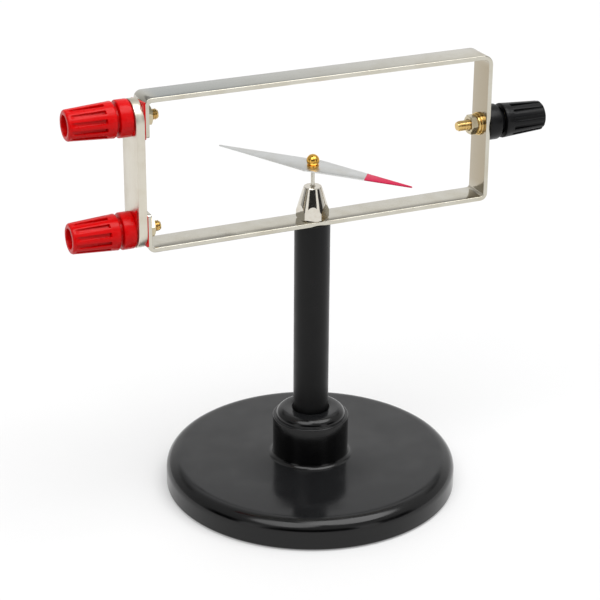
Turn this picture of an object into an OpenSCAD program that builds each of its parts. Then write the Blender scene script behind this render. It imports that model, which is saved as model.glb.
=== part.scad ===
// Oersted apparatus: a pivoted magnetic needle between the two arms of a bent metal conductor.
// Millimetres. The origin is on the table under the pillar, +Z is up, and the arms run along X.

/* [Base] */
// Diameter of the round base
base_d = 100; // [80:1:140]
// Height of the base's flat top above the table
base_h = 10.5; // [9:0.5:16]
// Rounding of the base's upper rim
rim_r = 4.5; // [1:0.5:6]
// Chamfer round the base's lower edge
base_chamfer = 0.5; // [0.2:0.1:1]
// Thickness of the solid web that the pillar stands on
web_t = 3; // [2:0.5:5]

/* [Boss] */
// Diameter of the boss that holds the pillar
boss_d = 26; // [24:1:34]
// Height of the boss's sharp shoulder above the table
shoulder_h = 25.3; // [18:0.1:34]
// Rise of the rounded dome above the shoulder
dome_rise = 2.7; // [1:0.1:4]
// Width of the flat ledge between the boss's side and its dome
ledge_w = 1.1; // [0.5:0.1:2]
// Rounding of the shoulder's edge
shoulder_r = 0.4; // [0.2:0.1:0.8]
// Fillet at the boss's foot
foot_r = 1.6; // [0.5:0.1:3]
// Width of the dark groove round the pillar at the boss's top
mouth_gap = 0.4; // [0.2:0.1:1]
// Depth of that groove
mouth_depth = 1.2; // [0.5:0.1:3]

/* [Pad] */
// Thickness of the non-slip pad under the base
pad_t = 1.4; // [1:0.1:2]
// How far the pad stands out below the base
pad_proud = 0.4; // [0.2:0.1:0.8]
// Width of the plain ring of base outside the pad
pad_margin = 5; // [3:0.5:10]
// Clearance round the pad in its recess
pad_gap = 0.2; // [0.1:0.1:0.5]

/* [Pillar] */
// Diameter of the pillar
pillar_d = 12; // [10:0.5:16]
// Height of the pillar's top, and of the frame's underside, above the table
pillar_top_h = 96.4; // [70:0.1:140]
// Radial clearance of the pillar in the boss
pillar_gap = 0.05; // [0.02:0.01:0.2]
// Chamfer at the pillar's ends
pillar_chamfer = 0.4; // [0.2:0.1:1]
// Diameter of the screw that holds the pillar from below
screw_d = 5; // [4:0.5:6]
// Diameter of that screw's head
screw_head_d = 8.5; // [8:0.5:10]
// Height of that screw's head
screw_head_h = 3; // [2:0.5:3.5]
// Depth that the screw is driven into the pillar
screw_grip = 10; // [6:1:20]
// Width across flats of the hexagon socket in the screw's head
screw_key = 4; // [3:0.5:5]
// Depth of that hexagon socket
screw_key_depth = 1.8; // [1:0.1:2]
// Diameter of the washer under the screw's head
screw_washer_d = 10.5; // [9.5:0.5:12]
// Thickness of that washer
screw_washer_t = 1; // [0.5:0.1:1.5]
// Radial room round the washer in its counterbore
counterbore_gap = 0.75; // [0.5:0.25:2]

/* [Conductor frame] */
// Width of the bent strip
strip_w = 10.4; // [8:0.1:16]
// Thickness of the bent strip
strip_t = 1.5; // [1:0.1:2]
// Height of the frame over both arms
frame_h = 51.2; // [44:0.1:80]
// From the pillar's axis to the outer face of the left tabs
left_reach = 59.4; // [50:0.1:90]
// From the pillar's axis to the outer face of the right side
right_reach = 62.9; // [50:0.1:90]
// Outer bend radius of the frame's corners
bend_r = 2.5; // [2.1:0.1:5]
// Outer bend radius of the upper right corner
far_bend_r = 3.5; // [2.1:0.1:6]
// How far each left tab reaches past its post's axis
tab_reach = 6; // [5:0.1:8]
// Corner radius at the tabs' free ends
tab_r = 1; // [0.3:0.1:3]

/* [Tie strip] */
// Width of the flat strip that joins the left tabs
tie_w = 13.6; // [13:0.1:24]
// Thickness of that strip
tie_t = 2.8; // [0.8:0.1:3.5]
// Corner radius of that strip
tie_r = 6.8; // [1:0.1:8]
// How far the strip's ends stay inside the frame's outer height
tie_inset = 1; // [0:0.05:2]

/* [Insulators] */
// Width of the insulating plate between collar and strip
front_w = 10.6; // [9:0.1:14]
// Thickness of that plate
front_t = 0.4; // [0.3:0.1:1.5]
// Reach of the plate's slanted inner end past its post's axis, on its long side
front_far = 8.3; // [5:0.1:10]
// Reach of that end on its short side
front_near = 4.4; // [3:0.1:8]
// Diameter of the plates' neck through the strip
neck_d = 5.4; // [4.4:0.1:6]
// Width of the insulating plate between strip and tab
rear_w = 12.2; // [11:0.1:16]
// Thickness of that plate
rear_t = 0.6; // [0.4:0.1:2.5]
// How far the straight inner end of that plate reaches past its post's axis
rear_reach = 6; // [4:0.5:8]
// Reach of its slanted outer end past its post's axis, on its long side
rear_far = 6.2; // [4:0.1:8]
// Reach of that end on its short side
rear_near = 4.4; // [3:0.1:6.5]
// Clearance of studs and necks in the holes that they pass through
hole_gap = 0.1; // [0.05:0.05:0.3]

/* [Posts] */
// From the frame's outer faces to the axes of the two red posts
post_inset = 6.95; // [6.5:0.05:9]
// From the frame's underside to the axis of the black post
right_post_up = 26; // [20:0.1:32]
// Diameter of the threaded stud
stud_d = 3.5; // [3:0.1:4]
// Length of the red posts' studs past the tabs
red_stud_tail = 4.4; // [3:0.1:10]
// Length of the black post's stud past the frame
black_stud_tail = 8.5; // [6:0.1:14]
// Diameter of the post's thick threaded core
core_d = 5.8; // [5.6:0.1:6]
// How far the core reaches out of the collar
core_reach = 13.5; // [11:0.5:15]
// Diameter of the plug socket in the core
socket_d = 4; // [3.8:0.1:4.2]
// Depth of the plug socket
socket_depth = 9; // [6:0.5:9]
// Diameter of the wire hole across the core
wire_hole_d = 1.8; // [1:0.1:2]
// From the end of the collar's neck to the wire hole's axis
wire_hole_out = 1.1; // [1:0.1:1.2]
// Chamfer at the ends of studs and cores
thread_chamfer = 0.4; // [0.2:0.1:0.6]
// Clearance that stands for the play between threads
thread_gap = 0.05; // [0.02:0.01:0.1]

/* [Collars and knobs] */
// Diameter of the fixed collar
collar_d = 12.1; // [11:0.1:14]
// Length of the red collars
red_collar_l = 4; // [2:0.1:6]
// Length of the black collar
black_collar_l = 4.5; // [2:0.1:6]
// Chamfer of the edges of the collar and its neck
collar_chamfer = 0.3; // [0.1:0.1:0.8]
// Diameter of the collar's neck round the core
collar_neck_d = 8.4; // [7.8:0.1:8.6]
// Length of that neck
collar_neck_l = 2.2; // [2:0.1:2.6]
// Radial clearance of the neck in the knob's recess
neck_gap = 0.2; // [0.1:0.05:0.25]
// Clearance between the neck's end and the recess's floor when the knob is shut
neck_end_gap = 0.2; // [0.1:0.05:0.3]
// Gap between collar and knob on the red posts
red_knob_gap = 1.1; // [0.3:0.1:4]
// Gap between collar and knob on the black post
black_knob_gap = 1.9; // [0.3:0.1:4]
// Length of the knob
knob_l = 15.5; // [15:0.25:20]
// Diameter of the knob next to the collar
knob_rear_d = 11.8; // [11.4:0.1:14]
// Diameter of the knob at its tip
knob_tip_d = 10; // [9.6:0.1:11.6]
// Rounding of the knob's tip
knob_tip_r = 0.8; // [0.3:0.1:1]
// Chamfer of the knob's rear edge
knob_rear_chamfer = 0.4; // [0.1:0.1:1]
// Length of the smooth ring at the knob's rear
ring_l = 3.2; // [3.2:0.1:5]
// Number of grip grooves round the knob
groove_n = 12; // [8:1:16]
// Width of a grip groove
groove_w = 1.3; // [0.6:0.1:1.6]
// Diameter over the bottoms of the grooves
groove_floor_d = 9; // [8.8:0.1:9.2]
// Diameter of the opening in the knob's tip
mouth_d = 6.6; // [6.2:0.1:7]
// Outer diameter of the threaded insert in the knob
insert_d = 7.4; // [7:0.1:7.6]
// Length of that insert
insert_l = 7; // [4:0.5:9]
// How deep the insert lies behind the recess's floor
insert_in = 0.2; // [0.1:0.1:1]
// Running clearance between the insert and the knob
insert_gap = 0.05; // [0.03:0.01:0.1]
// Gap between the insert's front end and the knob's inner step
insert_end_gap = 0.2; // [0.1:0.1:1]

/* [Nuts and washers] */
// Width across flats of the hexagon nuts
nut_af = 6; // [5.5:0.1:7]
// Thickness of the red posts' nuts
red_nut_t = 2; // [1.5:0.1:3]
// Thickness of the black post's nut
black_nut_t = 2.4; // [2:0.1:4]
// Turn of the red posts' nuts about their axes
red_nut_turn = 15; // [0:5:60]
// Height of the turned chamfer at a nut's corners
nut_chamfer = 0.3; // [0.1:0.1:0.5]
// Diameter of the flat washer
flat_washer_d = 7.8; // [7:0.1:10]
// Thickness of the flat washer
flat_washer_t = 0.8; // [0.4:0.1:1.5]
// Diameter of the spring washer
spring_washer_d = 7.2; // [6.5:0.1:8]
// Thickness of the spring washer
spring_washer_t = 1; // [0.6:0.1:1.5]
// Width of the slit in the spring washer
spring_slit = 0.6; // [0.3:0.1:1]

/* [Pivot] */
// Diameter of the stud that clamps the frame on the pillar
clamp_d = 4; // [3:0.5:4.5]
// Depth of that stud in the pillar
clamp_down = 10; // [6:1:20]
// Depth of that stud in the cap
clamp_up = 6; // [4:0.5:6]
// Width across flats of the hexagon cap
cap_af = 9.5; // [8.5:0.1:12]
// Height of the cap
cap_h = 11; // [10:0.5:15]
// Diameter of the cap's flat top
cap_top_d = 6; // [4:0.1:7]
// Growth of the cap's turned cone per millimetre below its top
cap_slope = 0.3; // [0.2:0.01:0.4]
// Height of the turned chamfer at the cap's lower corners
cap_chamfer = 0.5; // [0.2:0.1:1]
// Turn of the cap's flats about the pillar's axis
cap_turn = 8; // [-30:1:30]
// Diameter of the pivot pin
pin_d = 1.3; // [1:0.1:1.6]
// Depth of the pin in the cap
pin_grip = 3.4; // [2:0.1:3.5]
// Length of the pin's ground point
pin_point = 1.8; // [1:0.1:3]
// Depth of the countersink round the pin
countersink = 0.4; // [0.2:0.1:0.6]

/* [Needle] */
// Height of the needle's upper face above the lower arm
needle_up = 18.2; // [16:0.1:24]
// Length of the needle
needle_l = 74; // [50:1:80]
// Width of the needle at its middle
needle_w = 11.3; // [8:0.1:14]
// Thickness of the needle
needle_t = 0.4; // [0.3:0.05:0.8]
// Radius of the needle's tips
needle_tip_r = 0.3; // [0.1:0.05:0.6]
// Radius of the needle's side corners
needle_side_r = 1; // [0.3:0.1:2]
// Direction of the needle's coloured end about the pillar's axis
needle_turn = -56; // [-180:1:180]
// Diameter of the hub's ball
ball_d = 4.26; // [4:0.01:6]
// Height of the ball's centre above the needle
ball_up = 1.66; // [1.5:0.01:2]
// Diameter of the hub's flanges
flange_d = 4; // [3.8:0.1:6]
// Thickness of each flange
flange_t = 0.3; // [0.2:0.05:0.5]
// Diameter of the hub's tail through the needle
tail_d = 3; // [2.8:0.1:3.4]
// Bore of the hub round the pin
hub_bore_d = 2; // [1.9:0.1:2.2]
// Height of the pin's point above the needle
pivot_up = 1.2; // [0.9:0.1:1.5]
// Depth of the cone in the jewel
jewel_cone = 0.45; // [0.3:0.05:0.6]
// Height of the jewel
jewel_h = 1; // [0.8:0.1:1.2]
// Clearance between the pin's point and the jewel
point_gap = 0.05; // [0.02:0.01:0.1]
// Clearance of pieces pressed into one another
press_gap = 0.02; // [0.01:0.01:0.03]

/* [Hidden] */

$fn = 96;
cut = 1;
hex_fn = 6;
hex_ratio = 2 / sqrt(3);

base_r = base_d / 2;
boss_r = boss_d / 2;
pillar_r = pillar_d / 2;
boss_top_h = shoulder_h + dome_rise;

pad_r = base_r - pad_margin - pad_gap;
counterbore_r = screw_washer_d / 2 + counterbore_gap;
head_z = pad_t + counterbore_gap;
washer_z = head_z + screw_head_h;
web_z = washer_z + screw_washer_t;
pillar_z = web_z + web_t;

arm_z = pillar_top_h + strip_t;
frame_top_z = pillar_top_h + frame_h;
upper_z = frame_top_z - post_inset;
lower_z = pillar_top_h + post_inset;
right_z = pillar_top_h + right_post_up;
tie_face = left_reach + rear_t + tie_t;

stud_r = stud_d / 2;
core_r = core_d / 2;
stud_hole_r = stud_r + hole_gap;
neck_hole_r = neck_d / 2 + hole_gap;
clamp_hole_r = clamp_d / 2 + hole_gap;

red_face = front_t + red_collar_l;
red_inner = tie_t + rear_t + strip_t;
black_stack = strip_t + flat_washer_t + spring_washer_t;

recess_l = collar_neck_l + neck_end_gap;
insert_z = recess_l + insert_in;

cap_top_z = arm_z + cap_h;
needle_z = arm_z + needle_up;
point_z = needle_z + pivot_up;
jewel_z = point_z + point_gap - jewel_cone;

plastic_black = [0.07, 0.07, 0.07];
plastic_red = [0.85, 0.08, 0.08];
nickel = [0.8, 0.79, 0.75];
brass = [0.78, 0.6, 0.25];
steel = [0.65, 0.65, 0.62];

// Shared shapes

// Half section of a round slab on the axis, with its upper edge rounded
module slab_section(r, h, edge) {
    square([r - edge, h]);
    square([r, h - edge]);
    translate([r - edge, h - edge]) circle(edge);
}

// Half section of a rod along its axis from a to b, with both ends chamfered
module rod_section(r, a, b, chamfer) {
    polygon([[0, a], [r - chamfer, a], [r, a + chamfer], [r, b - chamfer], [r - chamfer, b], [0, b]]);
}

// Ring between two radii, from a to b along the axis
module tube(outer, inner, a, b) {
    difference() {
        translate([0, 0, a]) cylinder(h = b - a, r = outer);
        translate([0, 0, a - cut]) cylinder(h = b - a + 2 * cut, r = inner);
    }
}

// Hexagon from a to b along the axis, with its corners turned down at both ends
module hexagon(af, a, b, chamfer) {
    flat_r = af / 2;
    corner = flat_r * hex_ratio;
    intersection() {
        translate([0, 0, a]) cylinder(h = b - a, r = corner, $fn = hex_fn);
        rotate_extrude()
            polygon([[0, a], [flat_r, a], [corner, a + chamfer], [corner, b - chamfer], [flat_r, b], [0, b]]);
    }
}

// What is left over outside a round corner of radius r in the quarter x > 0, y > 0
module corner_waste(r) {
    difference() {
        square(r + cut);
        circle(r);
    }
}

// Upright plate with rounded corners in the plane of Y and Z, from x = 0 to x = t
module upright_plate(w, low, high, t, r) {
    rotate([90, 0, 90]) linear_extrude(t) difference() {
        translate([-w / 2, low]) square([w, high - low]);
        for (side = [-1, 1]) {
            translate([side * (w / 2 - r), high - r]) mirror([side - 1, 0]) corner_waste(r);
            translate([side * (w / 2 - r), low + r]) mirror([side - 1, 0]) mirror([0, 1]) corner_waste(r);
        }
    }
}

// Places: children are drawn along +Z, which becomes the post's outward axis. +x turns up on the left
module at_upper() {
    translate([-tie_face, 0, upper_z]) rotate([0, -90, 0]) children();
}

module at_lower() {
    translate([-tie_face, 0, lower_z]) rotate([0, -90, 0]) children();
}

module at_right() {
    translate([right_reach, 0, right_z]) rotate([0, 90, 0]) children();
}

module at_needle() {
    rotate([0, 0, needle_turn]) children();
}

// Base and pillar

module base() {
    color(plastic_black) rotate_extrude() difference() {
        union() {
            slab_section(base_r, base_h, rim_r);
            slab_section(boss_r, shoulder_h, shoulder_r);
            slab_section(boss_r - ledge_w, boss_top_h, dome_rise);
            foot_fillet_section();
        }
        translate([0, -cut]) square([base_r + cut, cut + pad_proud]);
        polygon([
            [base_r - base_chamfer, pad_proud],
            [base_r + cut, pad_proud - cut],
            [base_r + cut, pad_proud + base_chamfer + cut],
            [base_r, pad_proud + base_chamfer]
        ]);
        square([base_r - pad_margin, pad_t]);
        square([counterbore_r, web_z]);
        square([screw_d / 2 + hole_gap, pillar_z + cut]);
        translate([0, pillar_z]) square([pillar_r + pillar_gap, boss_top_h]);
        translate([0, boss_top_h - mouth_depth]) square([pillar_r + mouth_gap, boss_top_h]);
    }
}

module foot_fillet_section() {
    difference() {
        translate([boss_r - cut, base_h - cut]) square([foot_r + cut, foot_r + cut]);
        translate([boss_r + foot_r, base_h + foot_r]) circle(foot_r);
    }
}

module base_pad() {
    color([0.16, 0.16, 0.15]) cylinder(h = pad_t, r = pad_r);
}

module pillar_screw() {
    color(steel) difference() {
        union() {
            translate([0, 0, head_z]) cylinder(h = screw_head_h, r = screw_head_d / 2);
            rotate_extrude() rod_section(screw_d / 2, head_z, pillar_z + screw_grip, thread_chamfer);
        }
        translate([0, 0, head_z - cut])
            cylinder(h = screw_key_depth + cut, r = screw_key / 2 * hex_ratio, $fn = hex_fn);
    }
}

module pillar_washer() {
    color(steel) tube(screw_washer_d / 2, screw_d / 2 + hole_gap, washer_z, web_z);
}

module pillar() {
    color(plastic_black) difference() {
        rotate_extrude() rod_section(pillar_r, pillar_z, pillar_top_h, pillar_chamfer);
        translate([0, 0, pillar_z - cut]) cylinder(h = screw_grip + 2 * cut, r = screw_d / 2 + thread_gap);
        translate([0, 0, pillar_top_h - clamp_down - cut])
            cylinder(h = clamp_down + 2 * cut, r = clamp_d / 2 + thread_gap);
    }
}

// Conductor frame

// Outline of the bent strip seen along Y, grown outward from its inner face by the given amount
module frame_outline(grow) {
    left = -left_reach + strip_t - grow;
    right = right_reach - strip_t + grow;
    low = pillar_top_h + strip_t - grow;
    high = frame_top_z - strip_t + grow;
    r = bend_r - strip_t + grow;
    far_r = far_bend_r - strip_t + grow;
    difference() {
        translate([left, low]) square([right - left, high - low]);
        translate([right - far_r, high - far_r]) corner_waste(far_r);
        translate([right - r, low + r]) mirror([0, 1]) corner_waste(r);
        translate([left + r, high - r]) mirror([1, 0]) corner_waste(r);
        translate([left + r, low + r]) rotate(180) corner_waste(r);
    }
}

// Cuts that round the free end of a tab whose end lies at height z and faces up or down
module tab_end_cut(z, up) {
    translate([-left_reach - cut, 0, z]) rotate([90, 0, 90]) linear_extrude(strip_t + 2 * cut)
        for (side = [0, 1]) mirror([side, 0]) mirror([0, up ? 0 : 1])
            translate([strip_w / 2 - tab_r, -tab_r]) corner_waste(tab_r);
}

module post_hole(z, r) {
    translate([0, 0, z]) rotate([0, 90, 0]) cylinder(h = strip_t + 2 * cut, r = r);
}

module frame_strip() {
    tab_low_end = upper_z - tab_reach;
    tab_high_end = lower_z + tab_reach;
    color(nickel) difference() {
        rotate([90, 0, 0]) linear_extrude(strip_w, center = true) difference() {
            frame_outline(strip_t);
            frame_outline(0);
            translate([-left_reach - cut, tab_high_end])
                square([strip_t + 2 * cut, tab_low_end - tab_high_end]);
        }
        tab_end_cut(tab_low_end, false);
        tab_end_cut(tab_high_end, true);
        translate([-left_reach - cut, 0, 0]) post_hole(upper_z, stud_hole_r);
        translate([-left_reach - cut, 0, 0]) post_hole(lower_z, stud_hole_r);
        translate([right_reach - strip_t - cut, 0, 0]) post_hole(right_z, stud_hole_r);
        translate([0, 0, pillar_top_h - cut]) cylinder(h = strip_t + 2 * cut, r = clamp_hole_r);
    }
}

module tie_strip() {
    color(nickel) difference() {
        translate([-tie_face, 0, 0])
            upright_plate(tie_w, pillar_top_h + tie_inset, frame_top_z - tie_inset, tie_t, tie_r);
        at_upper() translate([0, 0, -tie_t - cut]) cylinder(h = tie_t + 2 * cut, r = neck_hole_r);
        at_lower() translate([0, 0, -tie_t - cut]) cylinder(h = tie_t + 2 * cut, r = neck_hole_r);
    }
}

// Posts. In each of these, z = 0 is the outer face of the metal that the post stands on

// Stud and core in one turned piece, with a plug socket and a wire hole
module post(shoulder, face, tail) {
    core_end = face + core_reach;
    color(brass) difference() {
        rotate_extrude() union() {
            rod_section(stud_r, -tail, shoulder + cut, thread_chamfer);
            rod_section(core_r, shoulder, core_end, thread_chamfer);
        }
        translate([0, 0, core_end - socket_depth]) cylinder(h = socket_depth + cut, r = socket_d / 2);
        translate([0, 0, face + collar_neck_l + wire_hole_out]) rotate([0, 90, 0])
            cylinder(h = core_d + 2 * cut, r = wire_hole_d / 2, center = true);
    }
}

// Collar with a slimmer neck that closes the view of the core while the knob stands open
module collar(shoulder, face, shade) {
    neck_end = face + collar_neck_l;
    color(shade) rotate_extrude() difference() {
        union() {
            rod_section(collar_d / 2, shoulder, face, collar_chamfer);
            rod_section(collar_neck_d / 2, shoulder, neck_end, collar_chamfer);
        }
        translate([0, shoulder - cut]) square([core_r + thread_gap, neck_end - shoulder + 2 * cut]);
    }
}

// Knob whose rear face is at z = 0, tapering to its tip, with a recess for the collar's neck
module knob(shade) {
    rear_r = knob_rear_d / 2;
    tip_r = knob_tip_d / 2;
    bore_r = insert_d / 2 + insert_gap;
    step_z = insert_z + insert_l + insert_end_gap;
    color(shade) difference() {
        rotate_extrude() difference() {
            union() {
                polygon([
                    [0, 0],
                    [rear_r - knob_rear_chamfer, 0],
                    [rear_r, knob_rear_chamfer],
                    [tip_r, knob_l - knob_tip_r],
                    [tip_r - knob_tip_r, knob_l - knob_tip_r],
                    [tip_r - knob_tip_r, knob_l],
                    [0, knob_l]
                ]);
                translate([tip_r - knob_tip_r, knob_l - knob_tip_r]) circle(knob_tip_r);
            }
            translate([0, -cut]) square([collar_neck_d / 2 + neck_gap, recess_l + cut]);
            translate([0, -cut]) square([bore_r, step_z + cut]);
            translate([0, -cut]) square([mouth_d / 2, knob_l + 2 * cut]);
        }
        for (i = [0 : groove_n - 1]) rotate([0, 0, (i + 0.5) * 360 / groove_n])
            translate([groove_floor_d / 2, -groove_w / 2, ring_l]) cube([rear_r, groove_w, knob_l]);
    }
}

module knob_insert() {
    color(brass) tube(insert_d / 2, core_r + thread_gap, insert_z, insert_z + insert_l);
}

// Plate with a neck through the strip: round at its outer end (+x), slanted at its inner end
module front_insulator() {
    plate_r = front_w / 2;
    color(plastic_red) difference() {
        union() {
            linear_extrude(front_t) union() {
                intersection() {
                    circle(plate_r);
                    translate([0, -plate_r]) square([plate_r, front_w]);
                }
                polygon([[0, -plate_r], [0, plate_r], [-front_far, plate_r], [-front_near, -plate_r]]);
            }
            translate([0, 0, -tie_t]) cylinder(h = tie_t + front_t / 2, r = neck_d / 2);
        }
        translate([0, 0, -tie_t - cut]) cylinder(h = tie_t + front_t + 2 * cut, r = stud_hole_r);
    }
}

// Plate behind the strip, straight at its inner end and slanted at its outer end (+x)
module rear_insulator() {
    side = rear_w / 2;
    color(plastic_red) translate([0, 0, -tie_t - rear_t]) difference() {
        linear_extrude(rear_t)
            polygon([[-rear_reach, -side], [rear_far, -side], [rear_near, side], [-rear_reach, side]]);
        translate([0, 0, -cut]) cylinder(h = rear_t + 2 * cut, r = stud_hole_r);
    }
}

// Nut that bears on the face at height z and reaches inward by its thickness
module nut(z, thickness, turn) {
    color(brass) difference() {
        rotate([0, 0, turn]) hexagon(nut_af, z - thickness, z, nut_chamfer);
        translate([0, 0, z - thickness - cut]) cylinder(h = thickness + 2 * cut, r = stud_r + thread_gap);
    }
}

module upper_post() {
    at_upper() post(front_t, red_face, red_inner + red_stud_tail);
}

module upper_collar() {
    at_upper() collar(front_t, red_face, plastic_red);
}

module upper_knob() {
    at_upper() translate([0, 0, red_face + red_knob_gap]) knob(plastic_red);
}

module upper_knob_insert() {
    at_upper() translate([0, 0, red_face + red_knob_gap]) knob_insert();
}

module upper_front_insulator() {
    at_upper() front_insulator();
}

module upper_rear_insulator() {
    at_upper() rear_insulator();
}

module upper_nut() {
    at_upper() nut(-red_inner, red_nut_t, red_nut_turn);
}

module lower_post() {
    at_lower() post(front_t, red_face, red_inner + red_stud_tail);
}

module lower_collar() {
    at_lower() collar(front_t, red_face, plastic_red);
}

module lower_knob() {
    at_lower() translate([0, 0, red_face + red_knob_gap]) knob(plastic_red);
}

module lower_knob_insert() {
    at_lower() translate([0, 0, red_face + red_knob_gap]) knob_insert();
}

module lower_front_insulator() {
    at_lower() rotate(180) front_insulator();
}

module lower_rear_insulator() {
    at_lower() rotate(180) rear_insulator();
}

module lower_nut() {
    at_lower() nut(-red_inner, red_nut_t, red_nut_turn);
}

module right_post() {
    at_right() post(0, black_collar_l, strip_t + black_stud_tail);
}

module right_collar() {
    at_right() collar(0, black_collar_l, plastic_black);
}

module right_knob() {
    at_right() translate([0, 0, black_collar_l + black_knob_gap]) knob(plastic_black);
}

module right_knob_insert() {
    at_right() translate([0, 0, black_collar_l + black_knob_gap]) knob_insert();
}

module right_flat_washer() {
    color(brass) at_right() tube(flat_washer_d / 2, stud_hole_r, -strip_t - flat_washer_t, -strip_t);
}

module right_spring_washer() {
    color(brass) at_right() difference() {
        tube(spring_washer_d / 2, stud_hole_r, -black_stack, -strip_t - flat_washer_t);
        translate([0, -spring_slit / 2, -black_stack - cut])
            cube([spring_washer_d, spring_slit, spring_washer_t + 2 * cut]);
    }
}

module right_nut() {
    at_right() nut(-black_stack, black_nut_t, 0);
}

// Pivot and needle

module clamp_stud() {
    color(steel) rotate_extrude()
        rod_section(clamp_d / 2, pillar_top_h - clamp_down, arm_z + clamp_up, thread_chamfer);
}

module pivot_cap() {
    corner = cap_af / 2 * hex_ratio;
    top_r = cap_top_d / 2;
    cone_foot_r = top_r + cap_slope * (cap_h - cap_chamfer);
    color(nickel) difference() {
        intersection() {
            rotate([0, 0, cap_turn + 30]) translate([0, 0, arm_z])
                cylinder(h = cap_h, r = corner, $fn = hex_fn);
            rotate_extrude() polygon([
                [0, arm_z],
                [cap_af / 2, arm_z],
                [corner, arm_z + cap_chamfer],
                [cone_foot_r, arm_z + cap_chamfer],
                [top_r, cap_top_z],
                [0, cap_top_z]
            ]);
        }
        translate([0, 0, arm_z - cut]) cylinder(h = clamp_up + 2 * cut, r = clamp_d / 2 + thread_gap);
        translate([0, 0, cap_top_z - pin_grip]) cylinder(h = pin_grip + cut, r = pin_d / 2 + press_gap);
        translate([0, 0, cap_top_z - countersink])
            cylinder(h = 2 * countersink, r1 = pin_d / 2, r2 = pin_d / 2 + 2 * countersink);
    }
}

module pivot_pin() {
    pin_r = pin_d / 2;
    color(steel) rotate_extrude() polygon([
        [0, cap_top_z - pin_grip],
        [pin_r, cap_top_z - pin_grip],
        [pin_r, point_z - pin_point],
        [0, point_z]
    ]);
}

// Slim lozenge whose straight edges run tangent to its round tips and side corners
module needle_outline() {
    tip_x = needle_l / 2 - needle_tip_r;
    side_y = needle_w / 2 - needle_side_r;
    span = sqrt(tip_x * tip_x + side_y * side_y);
    slope = atan2(side_y, tip_x) + asin((needle_side_r - needle_tip_r) / span);
    tip_touch = [tip_x + needle_tip_r * sin(slope), needle_tip_r * cos(slope)];
    side_touch = [needle_side_r * sin(slope), side_y + needle_side_r * cos(slope)];
    for (x = [0, 1], y = [0, 1]) mirror([x, 0]) mirror([0, y]) {
        polygon([[0, 0], [tip_touch.x, 0], tip_touch, side_touch, [0, side_touch.y]]);
        translate([tip_x, 0]) circle(needle_tip_r);
        translate([0, side_y]) circle(needle_side_r);
    }
}

module needle_blade() {
    color(steel) difference() {
        translate([0, 0, needle_z - needle_t]) at_needle() linear_extrude(needle_t) needle_outline();
        translate([0, 0, needle_z - needle_t - cut])
            cylinder(h = needle_t + 2 * cut, r = tail_d / 2 + press_gap);
    }
}

module needle_hub() {
    ball_r = ball_d / 2;
    low = needle_z - needle_t - flange_t;
    color(brass) rotate_extrude() difference() {
        union() {
            translate([0, low]) square([flange_d / 2, flange_t]);
            translate([0, low]) square([tail_d / 2, needle_t + 2 * flange_t]);
            translate([0, needle_z]) square([flange_d / 2, flange_t]);
            intersection() {
                translate([0, needle_z + ball_up]) circle(ball_r);
                translate([0, needle_z + flange_t / 2]) square([ball_d, ball_d + ball_up]);
            }
        }
        translate([0, low - cut]) square([hub_bore_d / 2, jewel_z + jewel_h - low + cut]);
    }
}

module needle_jewel() {
    jewel_r = hub_bore_d / 2 - press_gap;
    rim_w = jewel_r / 3;
    color([0.75, 0.2, 0.3]) rotate_extrude() polygon([
        [0, jewel_z + jewel_cone],
        [jewel_r - rim_w, jewel_z],
        [jewel_r, jewel_z],
        [jewel_r, jewel_z + jewel_h],
        [0, jewel_z + jewel_h]
    ]);
}

base();
base_pad();
pillar_screw();
pillar_washer();
pillar();
frame_strip();
tie_strip();
clamp_stud();
pivot_cap();
pivot_pin();
needle_blade();
needle_hub();
needle_jewel();
upper_post();
upper_collar();
upper_knob();
upper_knob_insert();
upper_front_insulator();
upper_rear_insulator();
upper_nut();
lower_post();
lower_collar();
lower_knob();
lower_knob_insert();
lower_front_insulator();
lower_rear_insulator();
lower_nut();
right_post();
right_collar();
right_knob();
right_knob_insert();
right_flat_washer();
right_spring_washer();
right_nut();
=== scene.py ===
"""Looks of an oersted apparatus: a needle between two conductor arms, on a round stand.

Sizes are in millimetres, and make() turns them into metres.
"""
import math

import bmesh
import bpy
from mathutils import Matrix, Vector


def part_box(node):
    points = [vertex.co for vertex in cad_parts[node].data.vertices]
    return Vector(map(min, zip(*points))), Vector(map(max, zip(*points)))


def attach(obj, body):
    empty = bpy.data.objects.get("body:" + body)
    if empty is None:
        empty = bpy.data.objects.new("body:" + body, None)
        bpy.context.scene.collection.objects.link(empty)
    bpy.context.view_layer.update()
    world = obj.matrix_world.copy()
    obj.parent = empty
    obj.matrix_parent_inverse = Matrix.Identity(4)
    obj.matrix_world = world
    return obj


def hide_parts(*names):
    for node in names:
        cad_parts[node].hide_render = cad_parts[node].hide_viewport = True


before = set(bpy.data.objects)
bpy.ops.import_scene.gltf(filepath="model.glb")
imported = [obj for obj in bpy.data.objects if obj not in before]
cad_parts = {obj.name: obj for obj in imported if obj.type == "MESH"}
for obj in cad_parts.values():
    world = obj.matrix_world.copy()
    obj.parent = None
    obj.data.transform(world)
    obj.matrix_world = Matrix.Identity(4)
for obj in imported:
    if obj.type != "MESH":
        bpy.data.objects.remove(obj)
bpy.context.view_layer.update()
MM = 0.001
TAU = 2 * math.pi
scene = bpy.context.scene

# Camera, fitted to the photograph
LENS_PX, FRAME_PX, SENSOR_MM = 1967.66, 600, 36
CAMERA_MM = (-251.945, -551.191, 334.655)
YAW, PITCH, ROLL = math.radians(-24.195), math.radians(-23.754), math.radians(0.4)


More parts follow.
